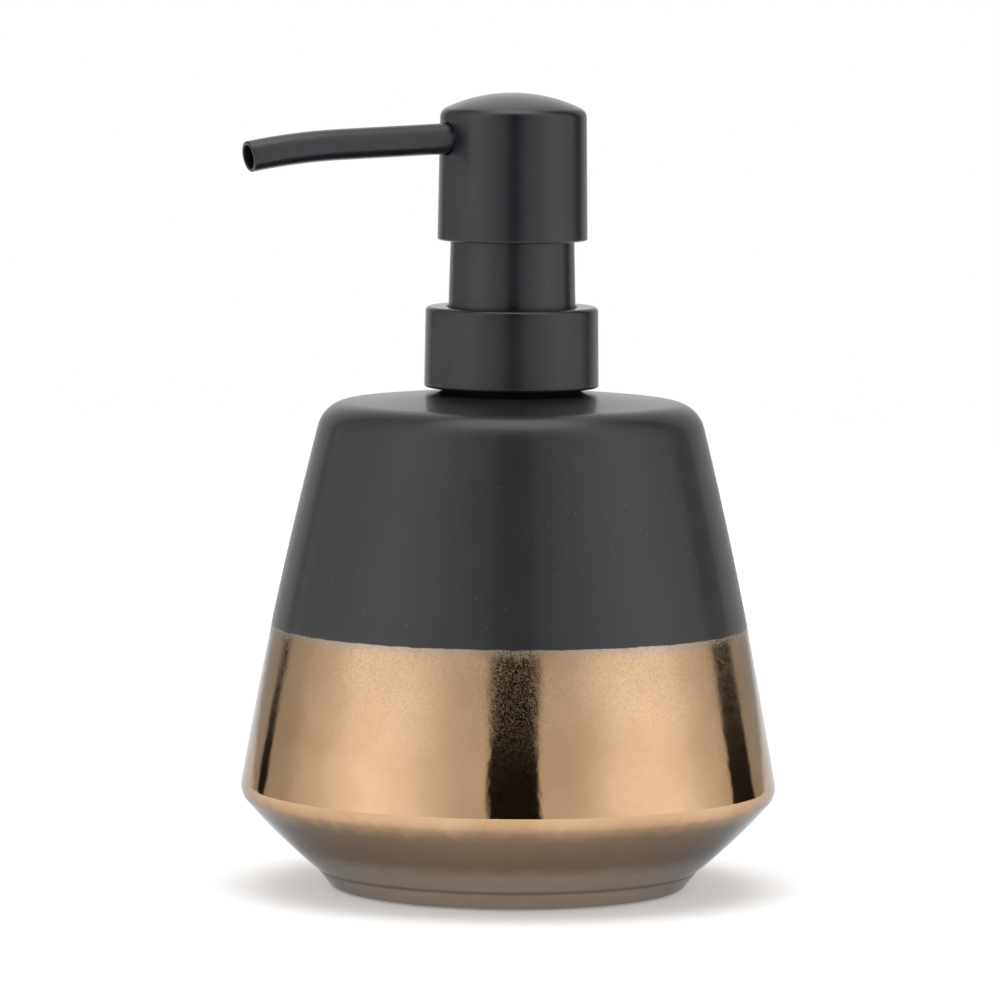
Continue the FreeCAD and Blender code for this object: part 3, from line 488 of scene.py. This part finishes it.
soft = Finish("soft_polyethylene", {"IOR": 1.5})
at = soft.place()
haze = soft.noise(at, 0.004, 3.0)
tone = soft.mix(haze.ramp(0.3, 0.7), (0.76, 0.76, 0.73, 1), (0.84, 0.84, 0.82, 1))
soft.set({"Base Color": tone, "Roughness": 0.45 + haze * 0.12})
soft.put_on(nodes["piston"])

gasket = Finish("white_gasket_foam", {"IOR": 1.45})
at = gasket.place()
bubbles = gasket.spots(at, 0.0003)
tone = gasket.mix(bubbles.ramp(0.1, 0.7), (0.66, 0.66, 0.64, 1), (0.8, 0.8, 0.78, 1))
gasket.set({"Base Color": tone, "Roughness": 0.8 + bubbles * 0.1})
gasket.set({"Normal": gasket.bump(bubbles, 0.00006)})
gasket.put_on(nodes["neck_gasket"])

steel = Finish("stainless_steel", {"Metallic": 1.0})
at = steel.place()
drawn = steel.noise(at, 0.0003, 3.0)
tone = steel.mix(drawn.ramp(0.3, 0.7), (0.50, 0.49, 0.48, 1), (0.62, 0.62, 0.62, 1))
steel.set({"Base Color": tone, "Roughness": 0.16 + drawn * 0.16})
steel.put_on(nodes["inlet_ball"])

spring_low, spring_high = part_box("return_spring")
WIRE_R = 0.4
coil_r = spring_high.x / MM - WIRE_R
TURNS = 6.5


def coiled_wire(name, foot, top, rows, columns):
    """Wire wound about +Z.  The centreline is x = R cos t, y = R sin t and z rises evenly with t;
    the section is a circle in the plane of the radius and the direction square to the wire."""
    t = np.linspace(0, 2 * math.pi * TURNS, rows)[:, None]
    rise = (top - foot) / (2 * math.pi * TURNS)
    outward = np.stack([np.cos(t), np.sin(t), 0 * t], -1)
    along = np.stack([-coil_r * np.sin(t), coil_r * np.cos(t), rise + 0 * t], -1)
    along /= np.linalg.norm(along, axis=-1, keepdims=True)
    across = np.cross(along, outward)
    centre = coil_r * outward + np.stack([0 * t, 0 * t, foot + rise * t], -1)
    turn = (np.arange(columns) * 2 * math.pi / columns)[None, :, None]
    grid = centre + WIRE_R * (outward * np.cos(turn) + across * np.sin(turn))
    return surface(name, grid, caps=("first", "last"))


spring_foot = spring_low.z / MM + WIRE_R
spring_top = spring_high.z / MM - WIRE_R
spring = coiled_wire("spring_coil", spring_foot, spring_top, rows=400, columns=16)
steel.put_on(spring)
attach(spring, "pump")
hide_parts("return_spring")
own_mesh(spring)


# ---------------------------------------------------------------- the dip tube
# Extruded polyethylene, milky, with a faint die line pattern along its length and the lower end
# cut on the slant so that it can't suck shut on the floor.

milky = Finish("milky_polyethylene", {"IOR": 1.5})
at = milky.place()
die_lines = milky.noise(milky.stretched(at, (1, 1, 0.02)), 0.0005, 2.0)
tone = milky.mix(die_lines.ramp(0.3, 0.7), (0.66, 0.68, 0.67, 1), (0.76, 0.78, 0.77, 1))
milky.set({"Base Color": tone, "Roughness": 0.28 + die_lines * 0.16})
milky.set({"Normal": milky.bump(die_lines, 0.00003)})
milky.put_on(nodes["dip_tube"])


# ---------------------------------------------------------------- the head
# A domed cover in the same satin black plastic, over an inner moulding that sockets the stem and
# the spout.  The spout comes out through a round hole with a little clearance all round.

head_low, head_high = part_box("head_shell")
head_r = head_high.x / MM
head_z = head_low.z / MM
crown_z = head_high.z / MM
EAVES = (head_r - 0.36, crown_z - 3.5)
HEAD_BORE = 13.0
CEILING = (151.0, crown_z - 1.4)
HOLE_Z = 146.43
HOLE_R = 3.3
HOLE_CELLS = 6
OPENING_CELLS = 9
HEAD_COLUMNS = 208


def dome(rim_radius, rim_height, top_height, count):
    """Spherical cap from its rim nearly to the axis: the sphere's radius is (rim radius squared
    plus rise squared) over twice the rise."""
    rise = top_height - rim_height
    ball = (rim_radius**2 + rise**2) / (2 * rise)
    radius = np.linspace(rim_radius, 0.4, count)
    return np.stack([radius, top_height - ball + np.sqrt(ball**2 - radius**2)], 1)


def rounded_square(u, v, cell):
    """Turns the square of HOLE_CELLS cells about the origin into a circle of HOLE_R.  A point
    keeps its direction; its distance changes from HOLE_R on that square to its own distance on
    the square of OPENING_CELLS cells and beyond."""
    square = np.maximum(np.abs(u), np.abs(v)) / cell
    distance = np.maximum(np.hypot(u, v), 1e-9)
    share = np.clip((square - HOLE_CELLS) / (OPENING_CELLS - HOLE_CELLS), 0, 1)
    scale = (1 - share) * HOLE_R / distance + share
    return u * scale, v * scale


def head_skins():
    """The cover's outer and inner skin on one grid of angles and levels.  On the side wall the
    levels are spaced like the angles, so that the spout's hole can be opened in square cells."""
    cell = 2 * math.pi * head_r / HEAD_COLUMNS
    below = math.floor((HOLE_Z - head_z - 0.6) / cell)
    levels = HOLE_Z + cell * np.arange(-below, OPENING_CELLS + 1)
    lean = (head_r - EAVES[0]) / (EAVES[1] - head_z)
    wall = np.stack([head_r - lean * (levels - head_z), levels], 1)
    foot = filleted([(HEAD_BORE, head_z), (head_r, head_z, 0.35), tuple(wall[0])], step=0.1)[1:-1]
    cap = dome(*EAVES, crown_z, 36)
    brow = filleted([tuple(wall[-1]), (*EAVES, 2.0), tuple(cap[5])], step=0.15)[1:-1]
    crown = divided(np.concatenate([wall[-1:], brow, cap[5:]]), 0.6)[1:]
    outer = np.concatenate([foot, wall, crown])
    foot_levels = np.linspace(head_z, levels[0], len(foot) + 1)[:-1]
    inner_foot = np.stack([0 * foot_levels + HEAD_BORE, foot_levels], 1)
    inner_wall = np.stack([0 * levels + HEAD_BORE, levels], 1)
    ceiling = dome(HEAD_BORE, *CEILING, len(crown))
    inner = np.concatenate([inner_foot, inner_wall, ceiling])
    angle = np.arange(HEAD_COLUMNS) * 2 * math.pi / HEAD_COLUMNS
    is_wall = slice(len(foot), len(foot) + len(wall))
    skins = []
    for skin in (outer, inner):
        a = np.tile(angle, (len(skin), 1))
        z = np.tile(skin[:, 1:], (1, HEAD_COLUMNS))
        r = np.tile(skin[:, :1], (1, HEAD_COLUMNS))
        u, v = rounded_square((a[is_wall] - math.pi) * head_r, z[is_wall] - HOLE_Z, cell)
        a[is_wall] = math.pi + u / head_r
        z[is_wall] = HOLE_Z + v
        skins.append(np.stack([r * np.cos(a), r * np.sin(a), z], -1))
    return skins, len(foot) + below


def head_cover(name):
    """Both skins as quads, without the cells of the hole, then the walls that join them round the
    lower rim and round the hole, and a fan at each crown."""
    (outer, inner), hole_row = head_skins()
    rows = len(outer)
    number = np.arange(rows * HEAD_COLUMNS).reshape(rows, HEAD_COLUMNS)
    number = np.concatenate([number, number[:, :1]], 1)
    cells = np.stack([number[:-1, :-1], number[:-1, 1:], number[1:, 1:], number[1:, :-1]], -1)
    middle = HEAD_COLUMNS // 2
    low, high = hole_row - HOLE_CELLS, hole_row + HOLE_CELLS
    left, right = middle - HOLE_CELLS, middle + HOLE_CELLS
    keep = np.ones(cells.shape[:2], bool)
    keep[low:high, left:right] = False
    skin = cells[keep]
    apart = rows * HEAD_COLUMNS
    hole = np.concatenate(
        [
            number[low, left:right],
            number[low:high, right],
            number[high, right:left:-1],
            number[high:low:-1, left],
            number[low, left : left + 1],
        ]
    )
    rim = number[0][::-1]
    walls = [np.stack([e[:-1], e[1:], e[1:] + apart, e[:-1] + apart], 1) for e in (hole, rim)]
    faces = np.concatenate([skin, skin[:, ::-1] + apart, *walls]).tolist()
    hubs = np.array([outer[-1].mean(0), inner[-1].mean(0)])
    top = number[-1]
    faces += np.stack([top[:-1], top[1:], 0 * top[1:] + 2 * apart], 1).tolist()
    faces += np.stack([top[1:] + apart, top[:-1] + apart, 0 * top[1:] + 2 * apart + 1], 1).tolist()
    points = np.concatenate([outer.reshape(-1, 3), inner.reshape(-1, 3), hubs])
    return solid(name, points, faces)


cover = head_cover("head_cover")
satin.put_on(cover, nodes["head_core"])
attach(cover, "head")
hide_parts("head_shell")


# ---------------------------------------------------------------- the spout
# A tube of the same black plastic, pushed into the head's boss, straight at first and then bent
# gently down.  The tip is cut square and its rim is a little rounded.

spout_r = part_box("spout")[1].y / MM
SPOUT_Z = 147.0
SPOUT_TILT = math.radians(2.35)
SPOUT_ROOT = 4.6
SPOUT_STRAIGHT = 36.6
SPOUT_BEND_R = 136.0
SPOUT_BEND = math.radians(8.15)
SPOUT_BORE = 2.3


def along_spout(s):
    """Centre, up direction and side direction at a distance s from the root.  The first stretch
    is straight and falls by SPOUT_TILT; after it the centre goes round a circle under it, so that
    the fall grows by the distance over SPOUT_BEND_R."""
    straight = np.minimum(s + SPOUT_ROOT, SPOUT_STRAIGHT)
    fall = SPOUT_TILT + np.maximum(s + SPOUT_ROOT - SPOUT_STRAIGHT, 0) / SPOUT_BEND_R
    x = straight * math.cos(SPOUT_TILT) + SPOUT_BEND_R * (np.sin(fall) - math.sin(SPOUT_TILT))
    drop = straight * math.sin(SPOUT_TILT) + SPOUT_BEND_R * (math.cos(SPOUT_TILT) - np.cos(fall))
    up = np.stack([-np.sin(fall), 0 * s, np.cos(fall)], -1)
    side = np.stack([0 * s, 1 + 0 * s, 0 * s], -1)
    return np.stack([-x, 0 * s, SPOUT_Z - drop], -1), up, side


def bent_tube(name, columns):
    """The tube's wall as a closed outline of (radius, distance along the spout), turned about the
    bent centreline: point = centre + radius * (cos a * side + sin a * up)."""
    end = SPOUT_STRAIGHT - SPOUT_ROOT + SPOUT_BEND_R * SPOUT_BEND
    outline = filleted(
        [
            (SPOUT_BORE, 0.0),
            (spout_r, 0.0, 0.2),
            (spout_r, end, 0.28),
            (SPOUT_BORE, end, 0.22),
        ],
        step=0.06,
    )
    loop = divided(np.concatenate([outline, outline[:1]]), 0.8)[:-1]
    angle = np.arange(columns) * 2 * math.pi / columns
    centre, up, side = along_spout(loop[:, 1])
    radius = loop[:, :1, None]
    a = angle[None, :, None]
    grid = centre[:, None, :] + radius * (np.cos(a) * up[:, None, :] + np.sin(a) * side[:, None, :])
    return surface(name, grid, wrap_rows=True)


tube = bent_tube("spout_tube", columns=96)
satin.put_on(tube)
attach(tube, "head")
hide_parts("spout")


# ---------------------------------------------------------------- floor, light and camera
# A pale sheet of milky acrylic, faintly lit from below, whose edge fades into a white light tent.
# The tent's opening in front and its two narrow dark seams show only in reflections: a view past
# the object sees a plain white backdrop.

VIEW_TURN = math.radians(-25.0)
VIEW_TILT = math.radians(5.14)
VIEW_ROLL = math.radians(0.45)
VIEW_DISTANCE = 1.4
LENS = 258.6
AIM = Vector((0, 0, 0.0804))
AIM_RIGHT = -0.00203
AIM_UP = -0.00454

toward = Vector((math.sin(VIEW_TURN), -math.cos(VIEW_TURN), 0))
rightward = Vector((math.cos(VIEW_TURN), math.sin(VIEW_TURN), 0))
back = toward * math.cos(VIEW_TILT) + Vector((0, 0, math.sin(VIEW_TILT)))
upward = back.cross(rightward)
camera_data = bpy.data.cameras.new("camera")
camera_data.lens = LENS
camera_data.clip_end = 100
camera = bpy.data.objects.new("camera", camera_data)
bpy.context.scene.collection.objects.link(camera)
eye = AIM + rightward * AIM_RIGHT + upward * AIM_UP + back * VIEW_DISTANCE
turn = Matrix((rightward, upward, back)).transposed() @ Matrix.Rotation(VIEW_ROLL, 3, "Z")
camera.matrix_world = Matrix.Translation(eye) @ turn.to_4x4()
bpy.context.scene.camera = camera

FADE_START = 0.45
FADE_END = 1.15
FLOOR_HALF = 1.2
floor_corners = np.array([(-1, -1, 0), (1, -1, 0), (1, 1, 0), (-1, 1, 0)]) * FLOOR_HALF
floor = solid("floor", floor_corners / MM, [(0, 1, 2, 3)])
acrylic = Finish("lit_acrylic", {"Specular IOR Level": 0.2, "Roughness": 0.9})
acrylic.set({"Emission Color": (1, 1, 1, 1), "Emission Strength": 0.2})
at = acrylic.place()
milk = acrylic.noise(at, 0.3)
acrylic.set({"Base Color": acrylic.mix(milk, (0.92, 0.92, 0.92, 1), (0.94, 0.94, 0.94, 1))})
from_middle = acrylic.node("ShaderNodeVectorMath", {"operation": "LENGTH"}, {0: at}, "Value")
acrylic.set({"Alpha": from_middle.ramp(FADE_END, FADE_START)})
acrylic.put_on(floor)


class Tent(Finish):
    """The world's shader, made with the same nodes as a finish."""

    def __init__(self, name):
        self.material = bpy.data.worlds.new(name)
        self.material.use_nodes = True
        self.tree = self.material.node_tree
        self.shader = self.tree.nodes["Background"]

    def along(self, direction, axis):
        """How far a direction points along an axis."""
        settings = {"operation": "DOT_PRODUCT"}
        values = {0: direction, 1: axis}
        return self.node("ShaderNodeVectorMath", settings, values, "Value")


def strip(bearing, start, dark_from, dark_to, end):
    """1 between two bearings, and falling smoothly to 0 at start and at end."""
    return bearing.ramp(start, dark_from) * bearing.ramp(end, dark_to)


OPENING_TURN = 2.4
TOP_STRENGTH = 2.7
tent = Tent("light_tent")
ray = tent.node("ShaderNodeTexCoord", {}, {}, "Generated")
level = tent.stretched(ray, (1, 1, 0))
level = tent.node("ShaderNodeVectorMath", {"operation": "NORMALIZE"}, {0: level})
front = tent.along(level, toward)
side = tent.along(level, rightward)
bearing = side.math("ARCTAN2", side, front) * (180 / math.pi) - OPENING_TURN
away = bearing.math("ABSOLUTE", bearing)
light = 0.01 + away.ramp(9.8, 12.6) * 0.75 + away.ramp(18, 63) * 0.78
light = light - away.ramp(66, 102) * 0.64 - away.ramp(98, 118) * 0.34
light = light + away.ramp(152, 176) * 0.57
seams = strip(bearing, -141, -138, -133, -130) + strip(bearing, 109, 112, 128, 131)
light = light * (1 - seams * 0.96)
top = tent.part(ray, 2).ramp(math.sin(math.radians(58)), math.sin(math.radians(80)))
light = light * (1 - top) + top * TOP_STRENGTH
backdrop = tent.node("ShaderNodeLightPath", {}, {}, "Is Camera Ray")
light = light * (1 - backdrop) + backdrop
tent.set({"Color": (1, 1, 1, 1), "Strength": light})
bpy.context.scene.world = tent.material
bpy.context.scene.view_settings.view_transform = "Standard"
